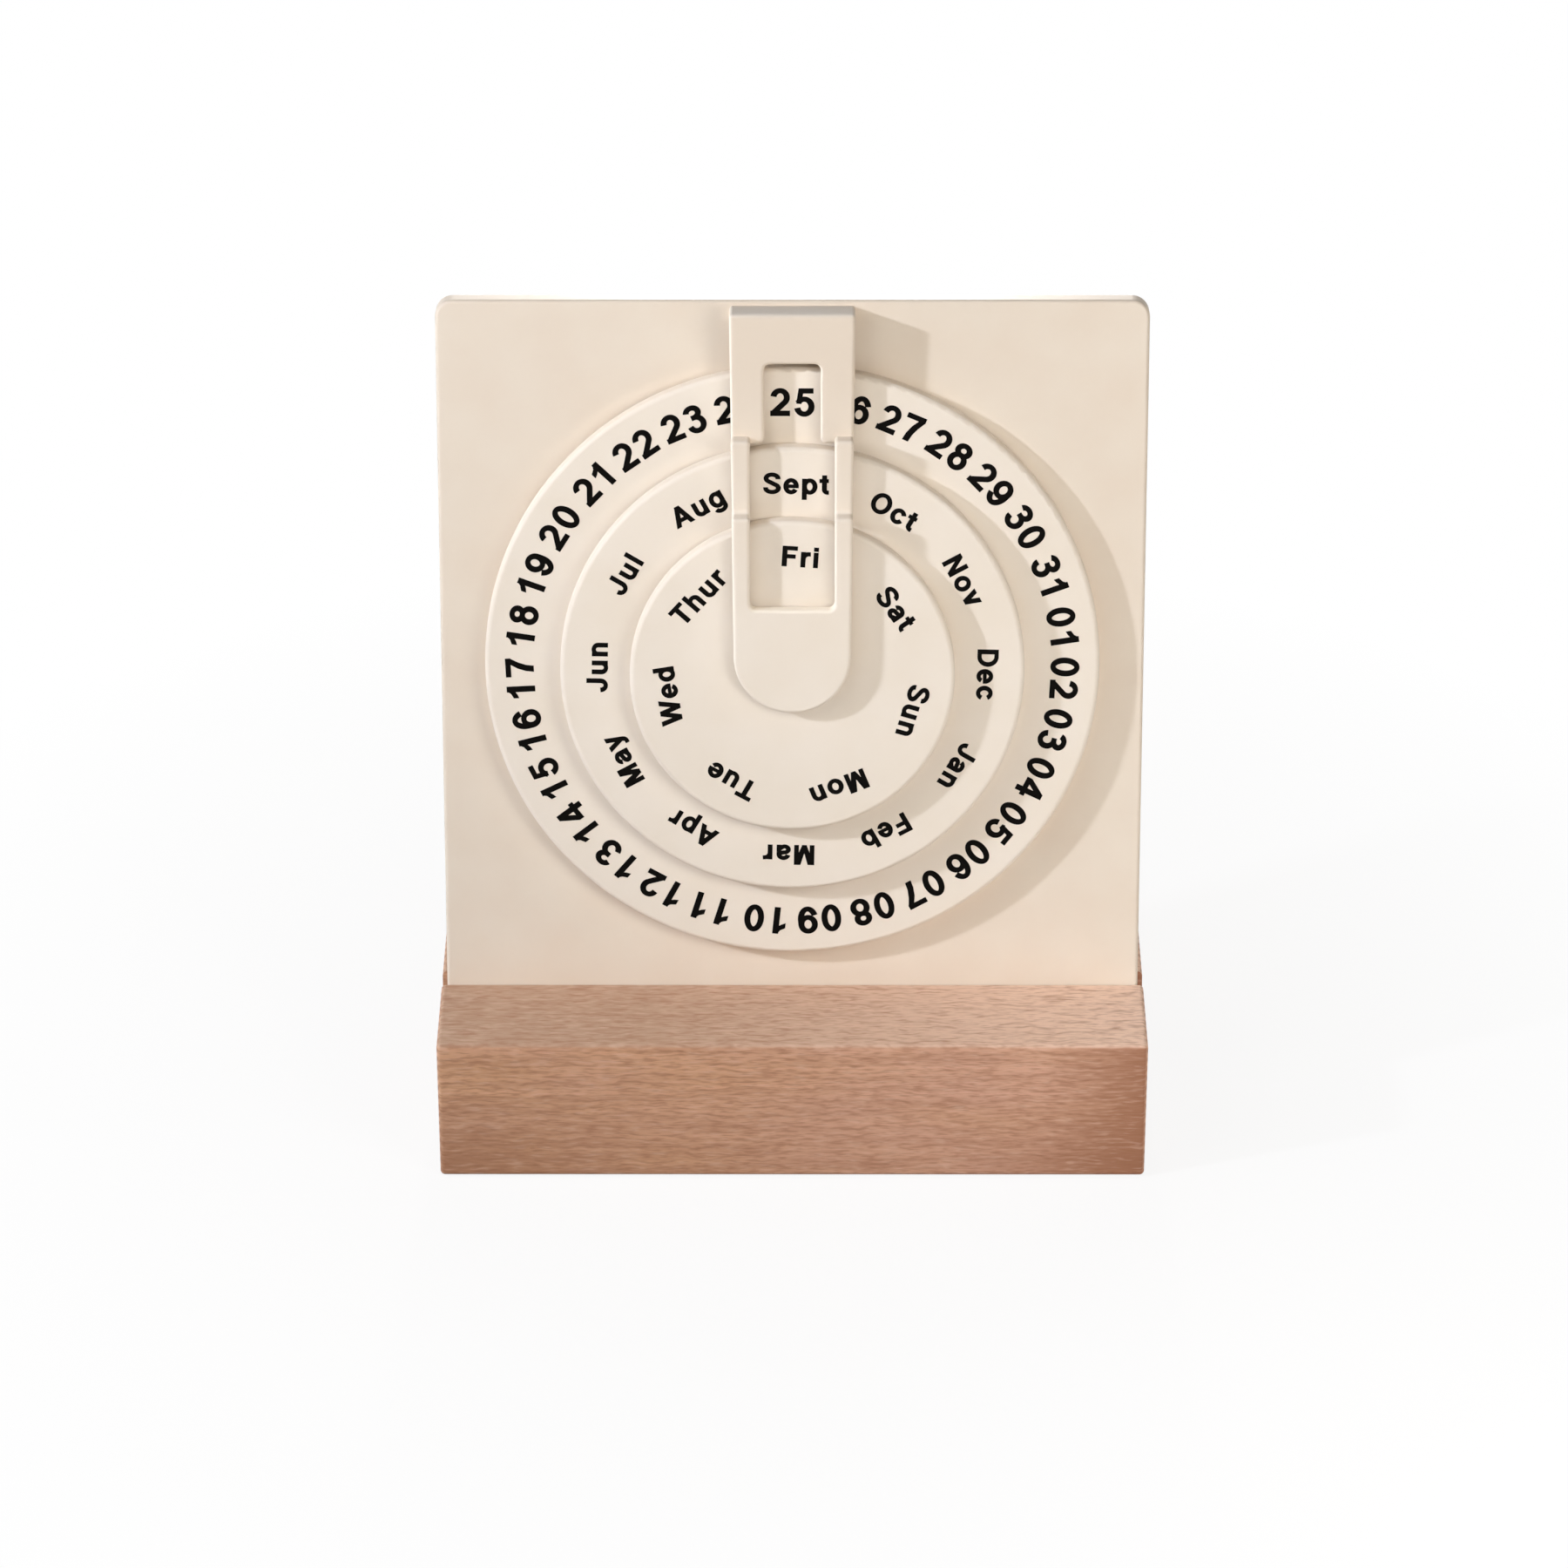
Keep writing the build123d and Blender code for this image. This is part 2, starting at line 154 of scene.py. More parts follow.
# Each letter: its width, then its strokes.
GLYPHS = {
    "A": (72.2, [A_LEG, mirrored(A_LEG, 72.1), [(10, 15.5), (62, 15.5), (57, 27.5), (15, 27.5)]]),
    "D": (72.2, [bar(7, 21.5, 0, CAP), pen((14, 66), arc(33, 36, 28, 30, 90, -90), (14, 6))]),
    "F": (61.1, [bar(7.5, 22.3, 0, CAP), bar(7.5, 58, 59.7, CAP), bar(7.5, 52, 30, 41.8)]),
    "J": (55.6, [pen((42, CAP), arc(25, 23.5, 17, 18.8, 0, -176))]),
    "M": (83.3, [bar(7, 20.6, 0, CAP), bar(62.8, 76.4, 0, CAP), M_ARM, mirrored(M_ARM, 83.4)]),
    "N": (
        72.2,
        [bar(7, 21, 0, CAP), bar(51.3, 65.3, 0, CAP), [(7, CAP), (50.3, 0), (65.3, 0), (22, CAP)]],
    ),
    "O": (77.8, ring(39, 36, 28, 31.8)),
    "S": (66.7, [pen(arc(33, 54, 21, 13.8, -3, 235), arc(33.5, 18.6, 22.5, 14.5, 50, -183))]),
    "T": (61.1, [bar(2, 59, 59.7, CAP), bar(23.1, 37.9, 0, CAP)]),
    "W": (94.4, [W_OUTER, W_INNER, mirrored(W_OUTER, 94.4), mirrored(W_INNER, 94.4)]),
    "a": (
        55.6,
        [
            pen(arc(27, 35, 16.2, 13.6, 166, 0), (43.2, 0)),
            pen((43.2, 30.5), (31, 28.4), arc(23.4, 15.9, 13.6, 11.3, 84, 300), (43.2, 15)),
        ],
    ),
    "b": (61.1, [TALL_STEM, *ring(*BOWL)]),
    "c": (55.6, [pen(arc(29.5, 26.6, 19.1, 22, 32, 328))]),
    "d": (61.1, [mirrored(TALL_STEM, 61.1), *ring(28.7, *BOWL[1:])]),
    "e": (55.6, [pen(arc(27.9, 26.6, 18.6, 22, 0, 323)), bar(10, 53.4, 21.6, 31.4)]),
    "g": (
        61.1,
        [
            pen((47.2, X_HEIGHT), arc(29, -3, 18.2, 12.5, 0, -164)),
            *ring(28.7, *BOWL[1:]),
        ],
    ),
    "h": (61.1, [TALL_STEM, ARCH]),
    "i": (27.8, [STEM, bar(6.9, 20.9, 60, CAP)]),
    "l": (27.8, [TALL_STEM]),
    "n": (61.1, [STEM, ARCH]),
    "o": (61.1, ring(30.6, 26.6, 20.2, 22)),
    "p": (61.1, [bar(6.9, 20.9, -20.7, X_HEIGHT), *ring(*BOWL)]),
    "r": (38.9, [STEM, pen((14, 24), arc(33, 29, 19, 18.4, 180, 99), (38, 47.6))]),
    "t": (
        33.3,
        [
            pen((17.2, 67), arc(28.7, 17, 11.5, 11.6, 180, 270), (31.6, 5.4)),
            bar(1, 30.6, 42.2, X_HEIGHT),
        ],
    ),
    "u": (
        61.1,
        [
            mirrored(STEM, 61.1),
            pen((13.9, X_HEIGHT), arc(30.5, 20.2, 16.6, 15.6, 180, 360), (47.1, 28)),
        ],
    ),
    "v": (55.6, [V_ARM, mirrored(V_ARM, 55.6)]),
    "y": (
        55.6,
        [
            [(1.5, X_HEIGHT), (20.6, 0), (33, 4), (17.2, X_HEIGHT)],
            [(54.1, X_HEIGHT), (39, X_HEIGHT), (18.2, -7), (32.8, -7)],
            pen((27.5, -1), (25.2, -6.5), arc(14, -3.6, 11.4, 11.4, -16, -90), (6.5, -15)),
        ],
    ),
    "0": (DIGIT_WIDTH, ring(27.8, DIGIT_MIDDLE, 17.5, 30.4)),
    "1": (
        DIGIT_WIDTH,
        [
            bar(24, 38, 0, 71.2),
            [
                (7.5, 54.5), (7.5, 42.4), (16, 46), (24.5, 51.8),
                (38, 51.8), (38, 71.2), (26.8, 71.2), (19.5, 61),
            ],
        ],
    ),
    "2": (DIGIT_WIDTH, [pen(arc(27, 47.6, 16.8, 17.5, 170, -46), (9, 6.5)), bar(2.8, 51, 0, 12.4)]),
    "3": (
        DIGIT_WIDTH,
        [
            pen(arc(26.6, 52.3, 15.6, 13, 166, -90), (20, 39.3)),
            pen((20, 39.3), arc(26.8, 21.7, 17.5, 17.6, 90, -171)),
        ],
    ),
    "4": (
        DIGIT_WIDTH,
        [
            bar(30.6, 44.3, 0, 71.2),
            bar(2.6, 52.2, 15.6, 27.8),
            [(2.6, 15.6), (17, 27.6), (44, 66), (44, 71.2), (31, 71.2), (2.6, 28.4)],
        ],
    ),
    "5": (
        DIGIT_WIDTH,
        [
            bar(13, 48.6, 58.4, 70.4),
            [(6.8, 32.2), (18.6, 31.4), (24.6, 70.4), (12.8, 70.4)],
            pen(arc(26.4, 23.6, 17.9, 19.5, 148, -168)),
        ],
    ),
    "6": (DIGIT_WIDTH, [*SIX_BOWL, SIX_BACK]),
    "7": (
        DIGIT_WIDTH,
        [
            bar(3.4, 52, 58.4, 70.6),
            [(15.2, 0), (30, 0), (33, 19), (40.5, 39), (52, 59.5), (37.5, 59.5), (25.5, 40), (18, 19)],
        ],
    ),
    "8": (DIGIT_WIDTH, [*ring(27.8, 52.2, 15.2, 13.2), *ring(27.8, 21.8, 17.3, 17.6)]),
    "9": (
        DIGIT_WIDTH,
        [[(DIGIT_WIDTH - x, 2 * DIGIT_MIDDLE - y) for x, y in stroke] for stroke in (*SIX_BOWL, SIX_BACK)],
    ),
}


def swell(loop, weight):
    """A counter-clockwise outline pushed outwards by a weight."""
    grown = []
    for before, point, after in zip(loop[-1:] + loop[:-1], loop, loop[1:] + loop[:1]):
        onward = (after - point).normalized()
        across = ((point - before).normalized() + onward).normalized()
        grown.append(point + Vector((across.y, -across.x)) * weight / max(SWELL_MITRE, across.dot(onward)))
    return grown


def glyph_mesh(strokes, weight):
    """The strokes of one letter joined into one flat shape: its points and triangles."""
    points, loops = [], []
    for stroke in strokes:
        area = sum(a[0] * b[1] - b[0] * a[1] for a, b in zip(stroke, stroke[1:] + stroke[:1]))
        ordered = [Vector(p) for p in (stroke if area > 0 else stroke[::-1])]
        loops.append(list(range(len(points), len(points) + len(ordered))))
        points += swell(ordered, weight)
    verts, _, faces, _, _, inside = delaunay_2d_cdt(points, [], loops, INSIDE_ONLY, MERGE_WITHIN)
    return verts, [face for face, owners in zip(faces, inside) if owners]


def set_text(text, weight):
    """One word as flat triangles, in letter units, with the middle of its ink at x = 0."""
    points, faces = [], []
    pen_x = 0.0
    for letter in text:
        width, strokes = GLYPHS[letter]
        verts, triangles = glyph_mesh(strokes, weight)
        first = len(points)
        points += [(v.x + pen_x, v.y) for v in verts]
        faces += [[first + i for i in triangle] for triangle in triangles]
        pen_x += width + TRACKING
    middle = (min(x for x, _ in points) + max(x for x, _ in points)) / 2
    return [(x - middle, y) for x, y in points], faces


def add_print(mesh, placing, points, triangles):
    """Flat triangles, placed on a dial's face and added to a mesh as a closed solid, thin as print."""
    lower, upper = (
        [mesh.verts.new(placing @ Vector((x, y, height))) for x, y in points]
        for height in (-INK_SINK, INK_THICKNESS)
    )
    for triangle in triangles:
        mesh.faces.new([upper[i] for i in triangle])
        mesh.faces.new([lower[i] for i in reversed(triangle)])
    edges = dict.fromkeys(edge for t in triangles for edge in zip(t, t[1:] + t[:1]))
    for a, b in edges:
        if (b, a) not in edges:
            mesh.faces.new((lower[a], lower[b], upper[b], upper[a]))


def lettering(name, words, first, cap, weight, radius, offset, dial, body, material):
    """A ring of words as thin print on a dial, the first of them under its window."""
    face = max((v.co - AXIS_POINT).dot(AXIS_OUT) for v in frame["nodes"][dial].data.vertices)
    scale = cap / (CAP + 2 * weight)
    mesh = bmesh.new()
    for number, word in enumerate(words):
        turn = offset + 2 * math.pi * (number - words.index(first)) / len(words)
        seat = Matrix.Rotation(-turn, 4, "Z") @ Matrix.Translation((0, radius, face))
        points, triangles = set_text(word, weight)
        flat = [(x * scale, (y - CAP / 2) * scale) for x, y in points]
        add_print(mesh, PANEL @ seat, flat, triangles)
    data = bpy.data.meshes.new(name)
    mesh.to_mesh(data)
    mesh.free()
    piece = bpy.data.objects.new(name, data)
    bpy.context.scene.collection.objects.link(piece)
    data.materials.append(material)
    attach(piece, body)


# =========================== materials ===========================
def new_material(name, roughness, metallic=0.0, specular=0.5):
    """An empty node material: returns it, its tree and its surface shader."""
    material = bpy.data.materials.new(name)
    material.use_nodes = True
    tree = material.node_tree
    surface = tree.nodes["Principled BSDF"]
    surface.inputs["Roughness"].default_value = roughness
    surface.inputs["Metallic"].default_value = metallic
    surface.inputs["Specular IOR Level"].default_value = specular
    return material, tree, surface


def node(tree, kind, inputs=(), **settings):
    """A shader node with its settings and inputs: sockets are linked, values are set."""
    made = tree.nodes.new("ShaderNode" + kind)
    for key, value in settings.items():
        setattr(made, key, value)
    for key, value in dict(inputs).items():
        if isinstance(value, bpy.types.NodeSocket):
            tree.links.new(value, made.inputs[key])
        else:
            made.inputs[key].default_value = value
    return made


def place(tree, sizes, turn=0.0, vector=None):
    """Object coordinates turned about X and counted in feature sizes."""
    source = vector or node(tree, "TexCoord").outputs["Object"]
    inputs = {"Vector": source, "Scale": sizes, "Rotation": (turn, 0, 0)}
    return node(tree, "Mapping", inputs, vector_type="TEXTURE").outputs["Vector"]


def noise(tree, sizes, detail=2.0, turn=0.0, vector=None):
    """Noise whose features have about the given sizes along the three axes."""
    if not isinstance(sizes, tuple):
        sizes = (sizes, sizes, sizes)
    inputs = {"Vector": place(tree, sizes, turn, vector), "Scale": 1.0, "Detail": detail}
    return node(tree, "TexNoise", inputs).outputs["Fac"]


def arithmetic(tree, operation, first, second=0.0):
    """One calculation on values or sockets."""
    return node(tree, "Math", {0: first, 1: second}, operation=operation).outputs[0]


def product(tree, first, second):
    """Two values or sockets multiplied."""
    return arithmetic(tree, "MULTIPLY", first, second)


def axes(tree, vector):
    """The X, Y and Z sockets of a vector."""
    return node(tree, "SeparateXYZ", {"Vector": vector}).outputs


def spread(tree, value, low, high, out_low=0.0, out_high=1.0):
    """Map a value's range onto another, clamped."""
    inputs = {"Value": value, "From Min": low, "From Max": high, "To Min": out_low, "To Max": out_high}
    return node(tree, "MapRange", inputs).outputs["Result"]


def blend_colour(tree, amount, first, second):
    """Mix of two colours or sockets."""
    made = node(tree, "Mix", data_type="RGBA")
    for index, value in ((0, amount), (6, first), (7, second)):
        if isinstance(value, bpy.types.NodeSocket):
            tree.links.new(value, made.inputs[index])
        else:
            made.inputs[index].default_value = value
    return made.outputs[2]


def layered(tree, colour, layers):
    """A colour with others laid over it in turn, each by its share."""
    for share, tone in layers:
        colour = blend_colour(tree, share, colour, tone)
    return colour


def bump(tree, surface, height, distance, strength=1.0):
    """Relief of the given depth in metres."""
    made = node(tree, "Bump", {"Height": height, "Distance": distance, "Strength": strength})
    tree.links.new(made.outputs["Normal"], surface.inputs["Normal"])


def rgb(red, green, blue):
    """A colour given as it looks on screen, 0 to 255, in linear light."""
    def linear(value):
        value /= 255
        return value / 12.92 if value <= 0.04045 else ((value + 0.055) / 1.055) ** 2.4
    return (linear(red), linear(green), linear(blue), 1.0)


# ---- tones, as they look on screen ----
PLATE_LIGHT = rgb(235, 223, 207)
PLATE_DARK = rgb(232, 218, 201)
DIAL_LIGHT = rgb(242, 232, 219)
DIAL_DARK = rgb(239, 228, 213)
BRIDGE_LIGHT = rgb(242, 232, 219)
BRIDGE_DARK = rgb(239, 228, 213)
# the next two: painted shade for the bridge's top, and a painted highlight for its rims
BRIDGE_PAINTED_SHADE = rgb(230, 216, 199)
RIM_PAINTED_HIGHLIGHT = rgb(252, 243, 228)
BEECH_PALE = rgb(238, 204, 182)
BEECH_PINK = rgb(221, 174, 150)
BEECH_TAN = rgb(222, 173, 135)
# the next two: painted light and painted shade on the block's top
BEECH_TOP_LIT = rgb(247, 216, 194)
BEECH_TOP_SHADED = rgb(188, 157, 134)
BEECH_DARK = rgb(158, 108, 80)
INK_DARK = rgb(4, 3, 2)
INK_WORN = rgb(9, 7, 5)
NYLON_LIGHT = rgb(233, 232, 226)
NYLON_DARK = rgb(222, 220, 212)
BRASS_LIGHT = rgb(214, 178, 112)
BRASS_DARK = rgb(188, 148, 84)
SPRING_LIGHT = rgb(186, 188, 192)
SPRING_DARK = rgb(160, 162, 168)
SCREW_LIGHT = rgb(205, 207, 210)
SCREW_DARK = rgb(172, 175, 180)

# ---- figure: ranges of value or place, and sizes of features along X, Y and Z ----
NOISE_RANGE = (0.3, 0.7)  # where most of a noise's values lie
UPPER_SHADE_RANGE = (95 * MM, 135 * MM)  # heights over which the bridge's painted shade comes in, towards its top
SILL_RANGE = (106 * MM, 102 * MM)  # heights over which faces that look up turn pale: painted highlight
MOULDED_GRAIN = 0.22 * MM
MOTTLING = 11 * MM
PITH = (0, -58 * MM, -39 * MM)  # line about which the block's growth rings curve
RING_SIZE = 1.5 * MM  # a year's growth, on the block's ends
LINE_GAP = 1.05 * MM  # between the grain lines on its faces
LINE_BREAKS = (5 * MM, 1 * MM, 1 * MM)  # gaps in those lines
RAY_TILT = math.radians(-50)  # rays are long along the grain, deep towards the pith and thin across
RAY_FLECK = (3.0 * MM, 0.38 * MM, 1.7 * MM)
FINE_FLECK = (2.2 * MM, 0.2 * MM, 1.0 * MM)
DARK_BAND = (40 * MM, 1.5 * MM, 1.5 * MM)
CLOUD = (30 * MM, 9 * MM, 9 * MM)
GRAIN_SWAY = (7 * MM, 4 * MM, 4 * MM)  # size of the waves in the grain, then how far they reach
GRAIN_REACH = 0.4 * MM
GROWTH_SWAY = (60 * MM, 20 * MM, 20 * MM)  # the same for the growth rings
GROWTH_REACH = 0.35 * MM
ROSY_RANGE = (-45 * MM, 30 * MM)  # from the block's left, where it is tan, to where it is pink
TOP_LIGHT_RANGE = (-25 * MM, 60 * MM)  # from the shaded to the lit side of the block's top: painted light and shade
END_SHADE_RANGE = (42 * MM, 60 * MM)  # the right end of its front, darker: painted shade
FOOT_SHADE_ENDS = (25 * MM, 70 * MM)  # outwards to the ends of its foot, where the painted shade is darkest
FOOT_SHADE_HEIGHTS = (18 * MM, 0.0)  # down to the foot, where the painted shade is full


def painted_rim_highlights(tree, spot, normal):
    """Share of the painted highlight: on rims that face left, and on the window's sill, which faces up."""
    left = spread(tree, normal["X"], -0.35, -0.75)
    up = spread(tree, normal["Z"], 0.35, 0.75)
    sill = product(tree, up, spread(tree, spot["Z"], *SILL_RANGE))
    return arithmetic(tree, "MAXIMUM", left, sill)


def bridge_layers(tree):
    """What the bridge has over its plastic: painted shade towards its top, and painted highlights on its
    rims.
    """
    spot = axes(tree, node(tree, "TexCoord").outputs["Object"])
    normal = axes(tree, node(tree, "NewGeometry").outputs["Normal"])
    upright = spread(tree, normal["Z"], 0.9, 0.5)
    # painted shade: the bridge's upright faces darker towards its top
    share = product(tree, spread(tree, spot["Z"], *UPPER_SHADE_RANGE), upright)
    return [(share, BRIDGE_PAINTED_SHADE), (painted_rim_highlights(tree, spot, normal), RIM_PAINTED_HIGHLIGHT)]


def ivory_plastic(name, light, dark, layers=None):
    """Matte moulded plastic: faint mottling and fine grain. layers, if given, makes what lies over them."""
    material, tree, surface = new_material(name, 0.5, specular=0.3)
    mottling = noise(tree, MOTTLING, detail=3)
    grain = noise(tree, MOULDED_GRAIN, detail=3)
    colour = blend_colour(tree, spread(tree, mottling, *NOISE_RANGE), light, dark)
    if layers:
        colour = layered(tree, colour, layers(tree))
    tree.links.new(colour, surface.inputs["Base Color"])
    tree.links.new(spread(tree, grain, *NOISE_RANGE, 0.45, 0.6), surface.inputs["Roughness"])
    bump(tree, surface, grain, 0.01 * MM, 0.6)
    return material


def swayed(tree, coords, sizes, reach):
    """Coordinates that wander up and down by a reach, so that straight lines turn wavy."""
    sway = spread(tree, noise(tree, sizes), *NOISE_RANGE, -reach, reach)
    shift = node(tree, "CombineXYZ", {"Y": sway, "Z": sway}).outputs["Vector"]
    return node(tree, "VectorMath", {0: coords, 1: shift}, operation="ADD").outputs["Vector"]


def growth_rings(tree, coords, size, outer, inner):
    """Rings about the pith line: 1 in the middle of the late wood, fading to 0 in the early wood."""
    pith = node(tree, "VectorMath", {0: coords, 1: PITH}, operation="SUBTRACT").outputs["Vector"]
    across = node(tree, "VectorMath", {0: pith, 1: (0, 1, 1)}, operation="MULTIPLY").outputs["Vector"]
    radius = node(tree, "VectorMath", {0: across}, operation="LENGTH").outputs["Value"]
    year = arithmetic(tree, "FRACT", arithmetic(tree, "DIVIDE", radius, size))
    from_middle = arithmetic(tree, "ABSOLUTE", arithmetic(tree, "SUBTRACT", year, 0.5))
    return spread(tree, from_middle, outer, inner)


def block_faces(tree, normal):
    """How squarely a face of the block looks to its ends, up or to the front, and how far it slopes."""
    slope = product(tree, arithmetic(tree, "ABSOLUTE", normal["Y"]), normal["Z"])
    return {
        "end": spread(tree, arithmetic(tree, "ABSOLUTE", normal["X"]), 0.5, 0.9),
        "top": spread(tree, normal["Z"], 0.4, 0.9),
        "front": spread(tree, normal["Y"], -0.5, -0.9),
        "arris": spread(tree, slope, 0.1, 0.5),
    }


def beech_tone(tree, spot, faces, grain):
    """The block's colour without its figure: pink to the right; painted light on top, lighter to the right;
    painted shade at foot and ends, at its front's right end and its front top edge; ends paler, painted
    light.
    """
    cloudy = spread(tree, noise(tree, CLOUD, 2), *NOISE_RANGE, 0.0, 0.5)
    rosy = arithmetic(tree, "ADD", cloudy, spread(tree, spot["X"], *ROSY_RANGE, 0.0, 0.5))
    banded = spread(tree, noise(tree, DARK_BAND, 1, 0, grain), 0.35, 0.7, 0.0, 0.3)
    toward_end = spread(tree, arithmetic(tree, "ABSOLUTE", spot["X"]), *FOOT_SHADE_ENDS, 0.25, 1.0)
    painted_foot_shade = product(tree, toward_end, spread(tree, spot["Z"], *FOOT_SHADE_HEIGHTS))
    painted_end_shade = spread(tree, spot["X"], *END_SHADE_RANGE, 0.0, 0.85)
    painted_top_light = blend_colour(tree, spread(tree, spot["X"], *TOP_LIGHT_RANGE), BEECH_TOP_SHADED, BEECH_TOP_LIT)
    return layered(tree, blend_colour(tree, rosy, BEECH_TAN, BEECH_PINK), [
        (banded, BEECH_DARK),
        # painted shade: darker towards the foot, most at its ends
        (product(tree, painted_foot_shade, 0.9), BEECH_DARK),
        # painted shade: the front darker towards its right end
        (product(tree, painted_end_shade, faces["front"]), BEECH_DARK),
        # painted shade on the rounded edge between top and front
        (product(tree, faces["arris"], 0.4), BEECH_DARK),
        # painted light: the top lighter, and lighter towards its right
        (product(tree, faces["top"], 0.85), painted_top_light),
        # painted light: the ends paler
        (product(tree, faces["end"], 0.25), BEECH_PALE),
    ])


def beech_wood(name):
    """Steamed beech cut on the rift: rings on its ends, grain lines and ray flecks along its faces."""
    material, tree, surface = new_material(name, 0.5, specular=0.3)
    coords = node(tree, "TexCoord").outputs["Object"]
    faces = block_faces(tree, axes(tree, node(tree, "NewGeometry").outputs["Normal"]))
    grain = swayed(tree, coords, GRAIN_SWAY, GRAIN_REACH)
    growth = swayed(tree, coords, GROWTH_SWAY, GROWTH_REACH)

    late_wood = growth_rings(tree, growth, RING_SIZE, 0.34, 0.1)
    broken = spread(tree, noise(tree, LINE_BREAKS, 1), 0.42, 0.58)
    grain_lines = product(tree, growth_rings(tree, grain, LINE_GAP, 0.24, 0.02), broken)
    fleck = noise(tree, RAY_FLECK, 1, RAY_TILT, grain)
    fine = noise(tree, FINE_FLECK, 1, RAY_TILT, grain)

    ring_share = spread(tree, faces["end"], 0, 1, 0.0, 0.7)
    line_share = spread(tree, faces["end"], 0, 1, 0.42, 0.0)
    fleck_share = spread(tree, faces["end"], 0, 1, 1.0, 0.15)
    dark_share = product(tree, fleck_share, spread(tree, faces["top"], 0, 1, 0.42, 0.3))
    dark_fleck = product(tree, spread(tree, fleck, 0.54, 0.7), dark_share)
    colour = layered(tree, beech_tone(tree, axes(tree, coords), faces, grain), [
        (product(tree, late_wood, ring_share), BEECH_DARK),
        (product(tree, grain_lines, line_share), BEECH_DARK),
        (product(tree, spread(tree, fleck, 0.46, 0.28, 0.0, 0.25), fleck_share), BEECH_PALE),
        (dark_fleck, BEECH_DARK),
        (spread(tree, fine, 0.52, 0.75, 0.0, 0.45), BEECH_DARK),
    ])
    tree.links.new(colour, surface.inputs["Base Color"])
    tree.links.new(spread(tree, fleck, *NOISE_RANGE, 0.44, 0.6), surface.inputs["Roughness"])
    bump(tree, surface, arithmetic(tree, "SUBTRACT", fine, dark_fleck), 0.04 * MM, 0.5)
    return material


def print_ink(name):
    """Matte black print with a faint break-up in its gloss."""
    material, tree, surface = new_material(name, 0.6, specular=0.05)
    patches = noise(tree, 0.6 * MM, detail=3)
    colour = blend_colour(tree, spread(tree, patches, 0.35, 0.7), INK_DARK, INK_WORN)
    tree.links.new(colour, surface.inputs["Base Color"])
    tree.links.new(spread(tree, patches, *NOISE_RANGE, 0.55, 0.7), surface.inputs["Roughness"])
    return material


def turned_metal(name, light, dark, roughness):
    """Metal with fine lathe marks and cloudy tarnish."""
    material, tree, surface = new_material(name, roughness, metallic=1.0)
    marks = noise(tree, (0.4 * MM, 0.08 * MM, 0.08 * MM))
    tarnish = noise(tree, 2.5 * MM, detail=3)
    colour = blend_colour(tree, spread(tree, tarnish, *NOISE_RANGE), light, dark)
    tree.links.new(colour, surface.inputs["Base Color"])
    gloss = spread(tree, marks, *NOISE_RANGE, roughness - 0.08, roughness + 0.1)
    tree.links.new(gloss, surface.inputs["Roughness"])
    bump(tree, surface, marks, 0.004 * MM)
    return material


def nylon(name):
    """Natural nylon: milky, slightly waxy."""
    material, tree, surface = new_material(name, 0.4, specular=0.45)
    cloud = noise(tree, 3 * MM, detail=3)
    colour = blend_colour(tree, spread(tree, cloud, *NOISE_RANGE), NYLON_LIGHT, NYLON_DARK)
    tree.links.new(colour, surface.inputs["Base Color"])
    tree.links.new(spread(tree, cloud, *NOISE_RANGE, 0.34, 0.46), surface.inputs["Roughness"])
    return material


MATERIALS = {
    "beech_wood": beech_wood("beech_wood"),
    "ivory_plate": ivory_plastic("ivory_plate", PLATE_LIGHT, PLATE_DARK),
    "ivory_dial": ivory_plastic("ivory_dial", DIAL_LIGHT, DIAL_DARK),
    "ivory_bridge": ivory_plastic("ivory_bridge", BRIDGE_LIGHT, BRIDGE_DARK, bridge_layers),
    "dial_ink": print_ink("dial_ink"),
    "brass_tube": turned_metal("brass_tube", BRASS_LIGHT, BRASS_DARK, 0.3),
    "spacer_nylon": nylon("spacer_nylon"),
    "spring_steel": turned_metal("spring_steel", SPRING_LIGHT, SPRING_DARK, 0.3),
    "screw_steel": turned_metal("screw_steel", SCREW_LIGHT, SCREW_DARK, 0.28),
}

for part in frame["record"]["subparts"]:
    piece = frame["nodes"][part["node"]]
    piece.data.materials.clear()
    piece.data.materials.append(MATERIALS[part["material_slot"]])

ink = MATERIALS["dial_ink"]
lettering(
    "date_numbers", DATES, f"{FIRST_DATE:02d}",
    DATE_CAP, DATE_WEIGHT, DATE_TEXT_RADIUS, DATE_OFFSET, "date_dial", "date_wheel", ink,
)
lettering(
    "month_names", MONTHS, FIRST_MONTH,
    NAME_CAP, NAME_WEIGHT, MONTH_TEXT_RADIUS, MONTH_OFFSET, "month_dial", "month_wheel", ink,
)
lettering(
    "weekday_names", DAYS, FIRST_DAY,
    NAME_CAP, NAME_WEIGHT, DAY_TEXT_RADIUS, DAY_OFFSET, "weekday_dial", "weekday_wheel", ink,
)


# =========================== stage, light and camera ===========================
FLOOR_REACH = 4.0  # from its middle to its sides
FLOOR_DROP = 0.2 * MM  # keeps the floor clear of the block's underside
FLOOR_TONE = (0.3, 0.29, 0.28, 1)  # as it lights the object
FLOOR_SHOWN = (0.9, 0.89, 0.88, 1)  # as it shows to the camera
SHADOW_RANGE = (0.07, 0.2)  # distances over which the floor's shadow fades to white
AMBIENT_BACK = (0.64, 0.62, 0.59, 1)
AMBIENT_FRONT = (0.05, 0.04, 0.03, 1)
WHITE = (1, 1, 1, 1)
DAYLIGHT = (0.84, 0.89, 1.0)
CREAM_LIGHT = (1.0, 0.955, 0.89)
PALE_LIGHT = (1.0, 0.97, 0.94)
WARM_LIGHT = (1.0, 0.93, 0.86)

